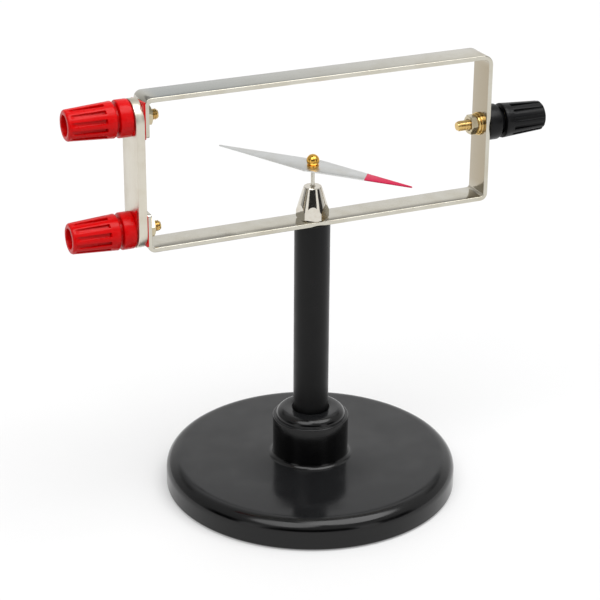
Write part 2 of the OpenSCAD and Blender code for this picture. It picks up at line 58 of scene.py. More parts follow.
def aim_camera():
    forward = Vector((-math.sin(YAW) * math.cos(PITCH), math.cos(YAW) * math.cos(PITCH), math.sin(PITCH)))
    right = Vector((math.cos(YAW), math.sin(YAW), 0))
    up = right.cross(forward)
    rolled_right = math.cos(ROLL) * right + math.sin(ROLL) * up
    rolled_up = math.cos(ROLL) * up - math.sin(ROLL) * right
    data = bpy.data.cameras.new("camera")
    data.sensor_width = SENSOR_MM
    data.lens = LENS_PX / FRAME_PX * SENSOR_MM
    data.clip_start = 0.01
    camera = bpy.data.objects.new("camera", data)
    turn = Matrix((rolled_right, rolled_up, -forward)).transposed().to_4x4()
    camera.matrix_world = Matrix.Translation(Vector(CAMERA_MM) * MM) @ turn
    scene.collection.objects.link(camera)
    scene.camera = camera


# Places taken from the CAD nodes

def low(node, axis):
    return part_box(node)[0][axis] / MM


def high(node, axis):
    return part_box(node)[1][axis] / MM


def middle(node, axis):
    return (low(node, axis) + high(node, axis)) / 2


X, Y, Z = 0, 1, 2
LEFT_FACE = low("tie_strip", X)
RIGHT_FACE = high("frame_strip", X)
FRAME_LOW, FRAME_HIGH = low("frame_strip", Z), high("frame_strip", Z)
TIE_T = high("tie_strip", X) - LEFT_FACE
REAR_T = high("upper_rear_insulator", X) - low("upper_rear_insulator", X)
STRIP_T, TIE_CORNER_R = 1.5, 6.79
STRIP_W = high("frame_strip", Y) - low("frame_strip", Y)


def post_frame(name):
    """Local +Z is the post's outward axis, and z = 0 is the face that the post stands on."""
    height = middle(name + "_collar", Z)
    if name == "right":
        return Matrix.Translation((RIGHT_FACE, 0, height)) @ Matrix.Rotation(math.pi / 2, 4, "Y")
    return Matrix.Translation((LEFT_FACE, 0, height)) @ Matrix.Rotation(-math.pi / 2, 4, "Y")


# Materials

class Nodes:
    """Short ways to add nodes to a tree."""

    def __init__(self, tree):
        self.tree = tree

    def node(self, kind, **values):
        made = self.tree.nodes.new(kind)
        for key, value in values.items():
            setattr(made, key, value)
        return made

    def link(self, out, into):
        self.tree.links.new(out, into)

    def math(self, operation, *values):
        """Result of a math node on outputs of other nodes and plain numbers."""
        made = self.node("ShaderNodeMath", operation=operation)
        for socket, value in zip(made.inputs, values):
            if isinstance(value, (int, float)):
                socket.default_value = value
            else:
                self.link(value, socket)
        return made.outputs["Value"]

    def axes(self, vector):
        parts = self.node("ShaderNodeSeparateXYZ")
        self.link(vector, parts.inputs["Vector"])
        return parts.outputs

    def spread(self, value, in_low, in_high, out_low=0, out_high=1, curve="LINEAR"):
        made = self.node("ShaderNodeMapRange", interpolation_type=curve)
        for socket, number in (("From Min", in_low), ("From Max", in_high),
                               ("To Min", out_low), ("To Max", out_high)):
            made.inputs[socket].default_value = number
        self.link(value, made.inputs["Value"])
        return made.outputs["Result"]


class Finish(Nodes):
    """A Principled material with procedural detail."""

    def __init__(self, name, base, metallic=0.0, roughness=0.4, **sockets):
        self.material = bpy.data.materials.new(name)
        self.material.use_nodes = True
        super().__init__(self.material.node_tree)
        self.shader = self.tree.nodes["Principled BSDF"]
        self.base = base
        self.set("Base Color", base)
        self.set("Metallic", metallic)
        self.set("Roughness", roughness)
        for socket, value in sockets.items():
            self.set(socket.replace("_", " "), value)
        self.roughness = roughness
        self.height = None

    def set(self, socket, value):
        self.shader.inputs[socket].default_value = value

    def coords(self, scale=(1, 1, 1), uv=False):
        """Coordinates in millimetres of the resting model, or along a swept strip, times a scale."""
        if uv:
            source = self.node("ShaderNodeUVMap", uv_map="run").outputs["UV"]
            factor = 1
        else:
            source = self.node("ShaderNodeTexCoord").outputs["Object"]
            factor = 1 / MM
        mapping = self.node("ShaderNodeMapping")
        mapping.inputs["Scale"].default_value = [s * factor for s in scale]
        self.link(source, mapping.inputs["Vector"])
        return mapping.outputs["Vector"]

    def noise(self, coords, scale, detail=3.0, rough=0.5):
        made = self.node("ShaderNodeTexNoise")
        made.inputs["Scale"].default_value = scale
        made.inputs["Detail"].default_value = detail
        made.inputs["Roughness"].default_value = rough
        self.link(coords, made.inputs["Vector"])
        return made.outputs["Fac"]

    def tint(self, factor, other):
        """Mixes another colour into the base colour where the factor is 1."""
        mix = self.node("ShaderNodeMix", data_type="RGBA")
        before = self.shader.inputs["Base Color"]
        if before.is_linked:
            self.link(before.links[0].from_socket, mix.inputs["A"])
        else:
            mix.inputs["A"].default_value = self.base
        mix.inputs["B"].default_value = other
        self.link(factor, mix.inputs["Factor"])
        self.link(mix.outputs["Result"], before)

    def vary_roughness(self, value, amount):
        self.link(self.spread(value, 0.3, 0.7, self.roughness - amount, self.roughness + amount),
                  self.shader.inputs["Roughness"])

    def bump(self, value, distance):
        made = self.node("ShaderNodeBump")
        made.inputs["Distance"].default_value = distance * MM
        made.inputs["Strength"].default_value = 1.0
        self.link(value, made.inputs["Height"])
        if self.height:
            self.link(self.height, made.inputs["Normal"])
        self.height = made.outputs["Normal"]
        self.link(self.height, self.shader.inputs["Normal"])


def shade_of(base, shares):
    return tuple(c * share for c, share in zip(base[:3], shares)) + (1,)


def moulded(name, base, roughness, grain=2.2, depth=0.006, **sockets):
    """Moulded plastic: a fine skin, soft waves in its gloss and faint random lighter flecks in its colour."""
    finish = Finish(name, base, 0, roughness, **sockets)
    skin = finish.noise(finish.coords(), grain, 4, 0.6)
    cloud = finish.noise(finish.coords(), 0.11, 3, 0.55)
    finish.vary_roughness(cloud, 0.07)
    finish.bump(skin, depth)
    finish.tint(finish.spread(finish.noise(finish.coords(), 0.9, 5, 0.7), 0.5, 0.8, 0, 0.25),
                tuple(min(1, c * 1.5 + 0.001) for c in base[:3]) + (1,))
    return finish


def plated(name, base, roughness, along, uv=False, streak=0.05):
    """Plated metal, brushed along one axis, with faint random clouds of a duller, warmer tone."""
    finish = Finish(name, base, 1, roughness)
    fine = [3.0 if axis != along else 0.06 for axis in range(3)]
    streaks = finish.noise(finish.coords(fine, uv), 1.0, 4, 0.6)
    cloud = finish.noise(finish.coords((1, 1, 1), uv), 0.12, 4, 0.6)
    finish.vary_roughness(streaks, streak)
    finish.bump(streaks, 0.002)
    finish.tint(finish.spread(cloud, 0.42, 0.72, 0, 0.55), shade_of(base, (0.82, 0.78, 0.7)))
    return finish


def dust_and_painted_sheen(finish, shade):
    """Dust and painted sheen: a thin, speckled grey tint on the faces that look up, which stands in for their
    brighter reflection.
    """
    up = finish.axes(finish.node("ShaderNodeNewGeometry").outputs["True Normal"])["Z"]
    grain = finish.spread(finish.noise(finish.coords(), 1.6, 5, 0.7), 0.3, 0.7, 0.6, 1.0)
    finish.tint(finish.math("MULTIPLY", finish.spread(up, 0.9, 1.0), grain), shade)


def turned(name, base, roughness, depth=0.004):
    """Turned metal with a fine grain and small darker spots."""
    finish = Finish(name, base, 1, roughness)
    grain = finish.noise(finish.coords(), 2.6, 4, 0.65)
    finish.vary_roughness(grain, 0.06)
    finish.bump(grain, depth)
    spots = finish.noise(finish.coords(), 0.7, 4, 0.6)
    finish.tint(finish.spread(spots, 0.45, 0.75, 0, 0.5), shade_of(base, (0.75, 0.68, 0.6)))
    return finish


def paint_strip_shade(finish):
    """Painted shade: a duller, darker colour on the strip's upper arm and a warmer, darker colour on its far upright,
    both off its edges.
    """
    place = finish.axes(finish.coords(uv=True))
    run, across = place["X"], finish.math("ABSOLUTE", place["Y"])
    face = finish.spread(across, STRIP_W / 2 - 0.25, STRIP_W / 2 - 0.1, 1, 0)
    # Painted shade on each stretch: where it fades in, where it fades out, its share and its colour
    for start, end, share, shade in (((10, 16), (20, 125), 0.9, (0.35, 0.37, 0.36, 1)),
                                     ((127, 135), (176, 184), 0.85, (0.4, 0.34, 0.245, 1))):
        factor = finish.math("MULTIPLY", face, finish.spread(run, *start, 0, share))
        finish.tint(finish.math("MULTIPLY", factor, finish.spread(run, *end, 1, 0)), shade)


def make_finishes():
    black = moulded("base black", (0.0006, 0.0006, 0.0007, 1), 0.16, Specular_IOR_Level=0.36)
    # Dust and painted sheen on the base's upward faces
    dust_and_painted_sheen(black, (0.01, 0.0103, 0.011, 1))
    made = {
        "base": black,
        "pad": moulded("pad rubber", (0.012, 0.012, 0.012, 1), 0.8, 1.5, 0.05),
        "pillar": moulded("pillar paint", (0.003, 0.003, 0.0032, 1), 0.33, 3.0, 0.005, Specular_IOR_Level=0.22),
        "strip": plated("strip nickel", (0.6, 0.575, 0.5, 1), 0.16, X, uv=True),
        "tie": plated("tie nickel", (0.68, 0.64, 0.55, 1), 0.34, Z),
        "cap": turned("cap nickel", (0.7, 0.665, 0.59, 1), 0.1),
        "pin": turned("pin steel", (0.66, 0.64, 0.57, 1), 0.3),
        "screw": turned("screw steel", (0.55, 0.55, 0.54, 1), 0.3),
        "needle": plated("needle steel", (0.68, 0.69, 0.68, 1), 0.3, X, streak=0.03),
        "paint": moulded("needle paint", (0.5, 0.001, 0.05, 1), 0.38, 4.0, 0.003, Specular_IOR_Level=0.25),
        "hub": turned("hub brass", (0.8, 0.45, 0.08, 1), 0.12, 0.0008),
        "jewel": Finish("jewel glass", (0.5, 0.02, 0.08, 1), 0, 0.05),
        "brass": turned("post brass", (0.7, 0.5, 0.2, 1), 0.14),
        "nut": turned("nut brass", (0.56, 0.49, 0.34, 1), 0.18),
        "red": moulded("red plastic", (0.58, 0.0004, 0.0012, 1), 0.25, 1.6, 0.006, Specular_IOR_Level=0.16),
        "black": moulded("knob black", (0.003, 0.003, 0.0035, 1), 0.34, 1.6, 0.01, Specular_IOR_Level=0.2),
    }
    # Painted shade on the strip's upper arm and far upright
    paint_strip_shade(made["strip"])
    jewel = made["jewel"]
    jewel.bump(jewel.noise(jewel.coords(), 3), 0.002)
    jewel.tint(jewel.noise(jewel.coords(), 2), (0.65, 0.04, 0.12, 1))
    return made


# Mesh building

def rounded(points, steps=4):
    """Replaces each corner (a, b, radius) of an open profile by an arc of that radius."""
    made = []
    for i, point in enumerate(points):
        here = Vector(point[:2])
        radius = point[2] if len(point) > 2 else 0
        if not radius or i in (0, len(points) - 1):
            made.append(tuple(here))
            continue
        back = (Vector(points[i - 1][:2]) - here).normalized()
        ahead = (Vector(points[i + 1][:2]) - here).normalized()
        half = back.angle(ahead) / 2
        touch = radius / math.tan(half)
        centre = here + (back + ahead).normalized() * (radius / math.sin(half))
        start, end = here + back * touch - centre, here + ahead * touch - centre
        sweep = start.angle(end)
        side = 1 if start.x * end.y - start.y * end.x > 0 else -1
        for k in range(steps + 1):
            turn = side * sweep * k / steps
            made.append((centre.x + start.x * math.cos(turn) - start.y * math.sin(turn),
                         centre.y + start.x * math.sin(turn) + start.y * math.cos(turn)))
    return made


def bridge(rings, looped=False):
    """Vertices and faces of a skin over rings with equal point counts. A looped skin has no end caps."""
    count = len(rings[0])
    verts = [p for ring in rings for p in ring]
    faces = []
    for r in range(len(rings) - (0 if looped else 1)):
        a, b = r * count, (r + 1) % len(rings) * count
        for k in range(count):
            n = (k + 1) % count
            faces.append((a + k, a + n, b + n, b + k))
    if not looped:
        faces.append(tuple(range(count))[::-1])
        faces.append(tuple(range((len(rings) - 1) * count, len(rings) * count)))
    return verts, faces


def circle(radius, z, count=96):
    return [(radius * math.cos(TAU * k / count), radius * math.sin(TAU * k / count), z) for k in range(count)]


def lathe(profile, count=96, looped=False):
    """Turned skin over (radius, height) points. A looped profile closes on itself, as a ring's does."""
    return bridge([circle(max(r, 0.001), z, count) for r, z in profile], looped)


def plate(outline, thickness, edge, steps=3):
    """Flat plate from a counter-clockwise outline of (point, outward normal), with rounded edges."""
    rings = []
    for z_edge, sign in ((edge, -1), (thickness - edge, 1)):
        for k in range(steps + 1):
            turn = math.pi / 2 * (1 - k / steps if sign < 0 else k / steps)
            inset, rise = edge * (1 - math.cos(turn)), edge * math.sin(turn)
            z = z_edge + sign * rise
            rings.append([(p[0] - n[0] * inset, p[1] - n[1] * inset, z) for p, n in outline])
    return bridge(rings)


def arc_outline(corners, steps=8):
    """Outline through counter-clockwise corner arcs (x, y, radius, start, end in degrees)."""
    made = []
    for x, y, radius, start, end in corners:
        for k in range(steps + 1):
            turn = math.radians(start + (end - start) * k / steps)
            normal = (math.cos(turn), math.sin(turn))
            made.append(((x + radius * normal[0], y + radius * normal[1]), normal))
    return made


def block_outline(low_x, high_x, low_y, high_y, radius):
    return arc_outline([(high_x - radius, high_y - radius, radius, 0, 90),
                        (low_x + radius, high_y - radius, radius, 90, 180),
                        (low_x + radius, low_y + radius, radius, 180, 270),
                        (high_x - radius, low_y + radius, radius, 270, 360)])


def thread(radius, start, end, pitch, depth, count=48, steps=8):
    """Rings of a right-handed screw thread from start to end."""
    rings = []
    total = max(2, round((end - start) / pitch * steps))
    for i in range(total + 1):
        z = start + (end - start) * i / total
        ring = []
        for k in range(count):
            phase = (z / pitch - k / count) % 1
            crest = 1 - abs(2 * phase - 1)
            r = radius - depth * (1 - min(1, crest * 1.25))
            fade = min(1, (z - start) / (pitch * 0.6) + 0.15, (end - z) / (pitch * 0.6) + 0.15)
            r = radius - depth + (r - radius + depth) * fade
            ring.append((r * math.cos(TAU * k / count), r * math.sin(TAU * k / count), z))
        rings.append(ring)
    return rings


def make(name, skin, finish, body, node, place=None, sharp=32, extra=()):
    """Adds a piece of the model that stands for a CAD node and rides on its body."""
    verts, faces = skin
    mesh = bpy.data.meshes.new(name)
    place = place or Matrix()
    mesh.from_pydata([tuple((place @ Vector(v)) * MM) for v in verts], [], faces)
    work = bmesh.new()
    work.from_mesh(mesh)
    bmesh.ops.remove_doubles(work, verts=work.verts, dist=1e-7)
    bmesh.ops.recalc_face_normals(work, faces=work.faces)
    work.to_mesh(mesh)
    work.free()
    mesh.shade_smooth()
    mesh.set_sharp_from_angle(angle=math.radians(sharp))
    piece = bpy.data.objects.new(name, mesh)
    scene.collection.objects.link(piece)
    for one in (finish, *extra):
        mesh.materials.append(one.material)
    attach(piece, body)
    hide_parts(node)
    return piece


# Stand

BASE_R = high("base", X)
BASE_H, BOSS_R, LEDGE_W, SHOULDER_H, DOME_RISE = 10.5, 13.0, 1.1, 25.3, 2.7
RIM_R, FOOT_R, PAD_T, PAD_PROUD, PAD_RECESS_R = 4.5, 1.6, 1.4, 0.4, 45.0
PILLAR_R, PILLAR_LOW, SEAT_H, HOLE_GAP = 6.0, 9.2, 9.15, 0.05
MOUTH_GAP, MOUTH_DEPTH = 0.4, 1.2


def quarter(centre_r, centre_z, radius, start, end, steps=10):
    """Arc of a profile from the start angle to the end angle, in degrees."""
    turns = [math.radians(start + (end - start) * k / steps) for k in range(steps + 1)]
    return [(centre_r + radius * math.cos(turn), centre_z + radius * math.sin(turn)) for turn in turns]


def make_base(finish):
    """The profile runs from the pillar's seat up over the boss, out to the rim and back under to the pad's recess."""
    dome_r, boss_top = BOSS_R - LEDGE_W, SHOULDER_H + DOME_RISE
    hole_r, mouth_r, mouth_low = PILLAR_R + HOLE_GAP, PILLAR_R + MOUTH_GAP, boss_top - MOUTH_DEPTH
    profile = [(0.01, SEAT_H), (hole_r, SEAT_H), (hole_r, mouth_low), (mouth_r, mouth_low)]
    profile += rounded([(mouth_r, boss_top - 1), (mouth_r, boss_top, 0.2), (dome_r - DOME_RISE, boss_top)])[1:]
    profile += quarter(dome_r - DOME_RISE, SHOULDER_H, DOME_RISE, 85, 2)
    profile += rounded([(dome_r, SHOULDER_H + 0.3), (dome_r, SHOULDER_H, 0.12), (BOSS_R, SHOULDER_H, 0.35),
                        (BOSS_R, BASE_H + FOOT_R + 1.9)])[1:]
    profile += quarter(BOSS_R + FOOT_R, BASE_H + FOOT_R, FOOT_R, 180, 270)
    profile += [(30, BASE_H), (BASE_R - RIM_R - 0.6, BASE_H)]
    profile += quarter(BASE_R - RIM_R, BASE_H - RIM_R, RIM_R, 88, 0, 16)
    profile += rounded([(BASE_R, 3), (BASE_R, PAD_PROUD + 0.5, 0.2), (BASE_R - 0.5, PAD_PROUD, 0.2),
                        (PAD_RECESS_R, PAD_PROUD, 0.2), (PAD_RECESS_R, PAD_T)])
    profile += [(0.01, PAD_T)]
    make("base_form", lathe(profile, 256), finish, "stand", "base")


def make_stand(finishes):
    make_base(finishes["base"])
    pad_r, pad_top = high("base_pad", X), PAD_T - 0.02
    profile = rounded([(0, 0.0), (pad_r, 0, 0.2), (pad_r, pad_top), (0, pad_top)])
    make("base_pad_form", lathe(profile, 128), finishes["pad"], "stand", "base_pad")
    top = high("pillar", Z)
    profile = rounded([(0, PILLAR_LOW), (PILLAR_R, PILLAR_LOW, 0.4), (PILLAR_R, top, 0.25), (0, top)])
    make("pillar_form", lathe(profile, 160), finishes["pillar"], "stand", "pillar")


# Conductor frame

BEND_R, FAR_BEND_R, BEND_STEPS, STRETCHES = 2.5, 3.5, 10, 60
TAB_REACH, TAB_R, STRIP_EDGE = 6.0, 1.0, 0.22
FRAME_LEFT = low("frame_strip", X)


def frame_run():
    """Stations along the strip's middle, from the upper tab to the lower one: place, outward angle, distance run."""
    half = STRIP_T / 2
    left, right = FRAME_LEFT + half, RIGHT_FACE - half
    bottom, top = FRAME_LOW + half, FRAME_HIGH - half
    upper_end = middle("upper_collar", Z) - TAB_REACH
    lower_end = middle("lower_collar", Z) + TAB_REACH
    bends = [(left, top, BEND_R, 180, 90), (right, top, FAR_BEND_R, 90, 0),
             (right, bottom, BEND_R, 0, -90), (left, bottom, BEND_R, -90, -180)]
    stations = [((left, upper_end), 180.0)]
    for x, z, outer, start, end in bends:
        r = outer - half
        cx = x + r if x == left else x - r
        cz = z - r if z == top else z + r
        for k in range(BEND_STEPS + 1):
            angle = start + (end - start) * k / BEND_STEPS
            turn = math.radians(angle)
            stations.append(((cx + r * math.cos(turn), cz + r * math.sin(turn)), angle))
    stations.append(((left, lower_end), -180.0))
    run, total = [], 0.0
    for i, (place, angle) in enumerate(stations):
        if i:
            total += math.dist(place, stations[i - 1][0])
        run.append((place, angle, total))
    return run, total


def strip_station(run, distance):
    """Place and outward angle at a distance run along the strip."""
    for (p, a, s), (q, b, t) in zip(run, run[1:]):
        if distance <= t + 1e-9:
            f = (distance - s) / (t - s)
            return ((p[0] + (q[0] - p[0]) * f, p[1] + (q[1] - p[1]) * f), a + (b - a) * f)
    return run[-1][0], run[-1][1]


def strip_section(width, thickness, edge, steps=3):
    """Rounded rectangle as (across, out) points, counter-clockwise."""
    made = []
    for sx, sy, start in ((1, 1, 0), (-1, 1, 90), (-1, -1, 180), (1, -1, 270)):
        for k in range(steps + 1):
            turn = math.radians(start + 90 * k / steps)
            made.append((sx * (width / 2 - edge) + edge * math.cos(turn),
                         sy * (thickness / 2 - edge) + edge * math.sin(turn)))
    return made


def set_run(piece, rings, distances):
    """Gives the swept strip a UV map of the distance run and the place across."""
    layer = piece.data.uv_layers.new(name="run")
    lookup = {}
    for ring, distance in zip(rings, distances):
        for point in ring:
            lookup[tuple(round(c, 2) for c in point)] = distance
    for loop in piece.data.loops:
        place = piece.data.vertices[loop.vertex_index].co / MM
        layer.data[loop.index].uv = (lookup.get(tuple(round(c, 2) for c in place), 0.0), place.y)


def make_frame_strip(finish):
    run, total = frame_run()
    ends = [TAB_R * (1 - math.cos(math.radians(15 * k))) for k in range(7)]
    distances = sorted(set(round(d, 5) for d in ends + [total - d for d in ends] + [s for _, _, s in run]
                           + [total * k / STRETCHES for k in range(STRETCHES + 1)]))
    rings = []
    for distance in distances:
        place, angle = strip_station(run, distance)
        near = min(distance, total - distance)
        lost = TAB_R - math.sqrt(max(0, TAB_R ** 2 - max(0, TAB_R - near) ** 2))
        thin = STRIP_EDGE - math.sqrt(max(0, STRIP_EDGE ** 2 - max(0, STRIP_EDGE - near) ** 2))
        out = Vector((math.cos(math.radians(angle)), 0, math.sin(math.radians(angle))))
        centre = Vector((place[0], 0, place[1]))
        section = strip_section(STRIP_W - 2 * lost, STRIP_T - 2 * thin * 0.9, STRIP_EDGE - thin * 0.8)
        rings.append([tuple(centre + out * t + Vector((0, a, 0))) for a, t in section])
    piece = make("frame_strip_form", bridge(rings), finish, "stand", "frame_strip", sharp=40)
    set_run(piece, rings, distances)


def make_tie_strip(finish):
    low_z, high_z = low("tie_strip", Z), high("tie_strip", Z)
    half = high("tie_strip", Y)
    outline = block_outline(low_z, high_z, -half, half, TIE_CORNER_R)
    upright = Matrix(((0, 0, 1, 0), (0, -1, 0, 0), (1, 0, 0, 0), (0, 0, 0, 1)))
    place = Matrix.Translation((LEFT_FACE, 0, 0)) @ upright
    make("tie_strip_form", plate(outline, TIE_T, 0.16), finish, "stand", "tie_strip", place)


# Posts

CORE_R, CORE_REACH, SOCKET_R, SOCKET_DEPTH, STUD_R = 2.9, 13.5, 2.0, 9.0, 1.75
CORE_PITCH, STUD_PITCH = 1.0, 0.6
FRONT_FAR, FRONT_NEAR, REAR_REACH, REAR_FAR, REAR_NEAR, PLATE_CORNER = 8.3, 4.4, 6.0, 6.2, 4.4, 0.4
FRONT_T = LEFT_FACE - high("upper_collar", X)
NUT_AF, NUT_CHAMFER, RED_NUT_TURN = 6.0, 0.3, 15
FLAT_WASHER_R, FLAT_WASHER_T, SPRING_WASHER_R, SPRING_WASHER_T, SPRING_SLIT = 3.9, 0.8, 3.6, 1.0, 0.6
COLLAR_NECK_R, COLLAR_NECK_L = 4.2, 2.2
KNOB_L, KNOB_REAR_R, KNOB_REAR_ROUND, KNOB_TIP_R, KNOB_TIP_ROUND, KNOB_STEPS = 15.5, 5.9, 0.4, 5.0, 0.8, 14
RING_L, GROOVES, GROOVE_W, GROOVE_FLOOR_R, GROOVE_EDGE, MOUTH_R = 3.2, 12, 1.3, 4.5, 0.16, 3.3
NO_GROOVE = 99.0
KNOB_RECESS_R, KNOB_RECESS_L, KNOB_BORE_R, KNOB_STEP = 4.4, 2.4, 3.75, 9.8


def make_post(name, finish, shoulder, face, tail):
    core_end = face + CORE_REACH
    rings = [circle(STUD_R - 0.4, -tail, 48)]
    rings += thread(STUD_R, -tail + 0.3, shoulder, STUD_PITCH, 0.3)
    rings += thread(CORE_R, shoulder + 0.02, core_end - 0.3, CORE_PITCH, 0.35)
    rings += [circle(CORE_R - 0.4, core_end, 48), circle(SOCKET_R + 0.25, core_end, 48),
              circle(SOCKET_R, core_end - 0.25, 48), circle(SOCKET_R, core_end - SOCKET_DEPTH, 48)]
    make(name + "_post_form", bridge(rings), finish, "stand", name + "_post", post_frame(name),
         sharp=50)


def make_collar(name, finish, start, end):
    r, bore = high(name + "_collar", Y), CORE_R + 0.05
    neck_end = end + COLLAR_NECK_L
    profile = rounded([(bore, (start + end) / 2), (bore, start), (r, start, 0.25), (r, end, 0.4),
                       (COLLAR_NECK_R, end, 0.15), (COLLAR_NECK_R, neck_end, 0.3), (bore, neck_end, 0.15),
                       (bore, (start + end) / 2)])
    make(name + "_collar_form", lathe(profile[:-1], 128, True), finish, "stand", name + "_collar",
         post_frame(name))


def knob_ring(radius, floor, z):
    """Ring of a fluted knob. Each flute has parallel walls and a flat floor, where the floor is below the radius."""
    half, edge = GROOVE_W / 2, GROOVE_EDGE
    spread = [0.98, 0.72, 0.45]
    sector = math.pi / GROOVES
    wall = math.asin(min(1, (half + edge) / radius))
    points = []
    for i in range(GROOVES):
        turn = (i + 0.5) * TAU / GROOVES
        local = [(radius * math.cos(a), -radius * math.sin(a)) for a in (sector * s + wall * (1 - s) for s in spread)]
        crest, brow, foot = (math.sqrt(radius ** 2 - y ** 2) for y in (half + edge, half, half - edge))
        local += [(crest, -(half + edge)), (max(brow - edge * 0.3, min(floor, brow)), -(half + edge * 0.3))]
        if floor < brow - edge:
            local += [(brow - edge, -half), (floor + edge * 0.6, -half + 0.01), (floor, -(half - edge))]
            full = local + [(floor, 0)]
        else:
            local += [(brow, -half), (foot, -half + 0.02), (foot, -(half - edge))]
            full = local + [(radius, 0)]
        full += [(x, -y) for x, y in reversed(local)]
        c, s = math.cos(turn), math.sin(turn)
        points += [(x * c - y * s, x * s + y * c, z) for x, y in full]
    return points


def knob_skin(fade):
    """Skin of a knob with its rear face at z = 0. The flutes start to run out at the length fade from the tip.

    With a fade of 0 they stay open up to the tip.
    """
    def land(z):
        return KNOB_REAR_R + (KNOB_TIP_R - KNOB_REAR_R) * z / (KNOB_L - KNOB_TIP_ROUND)

    def plain(points):
        return [knob_ring(r, NO_GROOVE, z) for r, z in points]

    rings = plain([(KNOB_BORE_R, KNOB_RECESS_L), (KNOB_RECESS_R, KNOB_RECESS_L), (KNOB_RECESS_R, 0.2),
                   (KNOB_RECESS_R + 0.2, 0.0), (KNOB_REAR_R - KNOB_REAR_ROUND, 0.0)])
    rings += plain([(KNOB_REAR_R - KNOB_REAR_ROUND + KNOB_REAR_ROUND * math.sin(turn),
                     KNOB_REAR_ROUND - KNOB_REAR_ROUND * math.cos(turn)) for turn in map(math.radians, (30, 60, 90))])
    rings += plain([(land(z), z) for z in (1.5, RING_L - 0.18)])
    rings.append(knob_ring(land(RING_L), land(RING_L) - 0.25, RING_L - 0.05))
    tip, start = KNOB_L - KNOB_TIP_ROUND, RING_L + 0.02
    for k in range(KNOB_STEPS + 1):
        z = start + (tip - start) * k / KNOB_STEPS
        floor = max(GROOVE_FLOOR_R, land(z) - 0.04 - (tip - z) / fade * 1.3) if fade else GROOVE_FLOOR_R
        rings.append(knob_ring(land(z), floor, z))
    for turn in map(math.radians, (20, 45, 70, 90)):
        r = KNOB_TIP_R - KNOB_TIP_ROUND * (1 - math.cos(turn))
        open_end = not fade and r > GROOVE_FLOOR_R + 0.17
        rings.append(knob_ring(r, GROOVE_FLOOR_R if open_end else NO_GROOVE, tip + KNOB_TIP_ROUND * math.sin(turn)))
    rings += plain([(MOUTH_R + 0.25, KNOB_L), (MOUTH_R + 0.07, KNOB_L - 0.08), (MOUTH_R, KNOB_L - 0.3),
                    (MOUTH_R, KNOB_STEP), (KNOB_BORE_R, KNOB_STEP)])
    return bridge(rings, looped=True)


def make_knob(name, finish, fade):
    place = post_frame(name)
    rear = (low("right_knob", X) - RIGHT_FACE) if name == "right" else (LEFT_FACE - high(name + "_knob", X))
    make(name + "_knob_form", knob_skin(fade), finish, name + "_grip", name + "_knob",
         place @ Matrix.Translation((0, 0, rear)), sharp=38)


def hex_reach(angle, half_af):
    return half_af / math.cos((angle + math.pi / 6) % (math.pi / 3) - math.pi / 6)


def hex_past(reach, half_af):
    """How far a point on the hexagon lies past the flats: 0 in the middle of a flat, 1 at a corner."""
    return (reach - half_af) / (half_af * (2 / math.sqrt(3) - 1))


def hex_ring(half_af, z, lift=0.0, count=96):
    """Ring on a hexagon. Lift raises its corners, and each other point by its share."""
    points = []
    for k in range(count):
        angle = TAU * k / count
        r = hex_reach(angle, half_af)
        points.append((r * math.cos(angle), r * math.sin(angle), z + lift * hex_past(r, half_af)))
    return points


def make_nut(name, finish, z_high, turn):
    half, bore = NUT_AF / 2, STUD_R + 0.05
    z_low = z_high - (high(name + "_nut", X) - low(name + "_nut", X))
    rings = [circle(bore, z_low + 0.3), circle(bore + 0.3, z_low), circle(half - 0.05, z_low),
             hex_ring(half, z_low + 0.05, NUT_CHAMFER), hex_ring(half, z_high - 0.05, -NUT_CHAMFER),
             circle(half - 0.05, z_high), circle(bore + 0.3, z_high), circle(bore, z_high - 0.3)]
    place = post_frame(name) @ Matrix.Rotation(math.radians(turn), 4, "Z")
    make(name + "_nut_form", bridge(rings, looped=True), finish, "stand", name + "_nut", place,
         sharp=28)


def slanted_end(far, near, half):
    """An end that slants from far to near: its outward normal's angle, and the x of its two corners' centres."""
    slant = math.atan2(far - near, 2 * half)
    reach = far * math.cos(slant) - half * math.sin(slant) - PLATE_CORNER
    shift = (half - PLATE_CORNER) * math.sin(slant)
    return math.degrees(slant), (reach + shift) / math.cos(slant), (reach - shift) / math.cos(slant)


def make_insulators(name, finish, turn):
    """The front plate's outer end (+x) is round and its inner end slanted. The rear plate's outer end is slanted."""
    place = post_frame(name) @ Matrix.Rotation(math.radians(turn), 4, "Z")
    node, r = name + "_front_insulator", PLATE_CORNER
    half = high(node, Y)
    slant, far_x, near_x = slanted_end(FRONT_FAR, FRONT_NEAR, half)
    outline = arc_outline([(0, 0, half, -90, 90)], 48)
    outline += arc_outline([(-far_x, half - r, r, 90, 180 + slant), (-near_x, r - half, r, 180 + slant, 270)], 4)
    make(node + "_form", plate(outline, FRONT_T, 0.1), finish, "stand", node, place)
    node = name + "_rear_insulator"
    half = high(node, Y)
    slant, far_x, near_x = slanted_end(REAR_FAR, REAR_NEAR, half)
    outline = arc_outline([(far_x, r - half, r, -90, slant), (near_x, half - r, r, slant, 90),
                           (r - REAR_REACH, half - r, r, 90, 180), (r - REAR_REACH, r - half, r, 180, 270)], 4)
    make(node + "_form", plate(outline, REAR_T, 0.12), finish, "stand", node,
         place @ Matrix.Translation((0, 0, -TIE_T - REAR_T)))


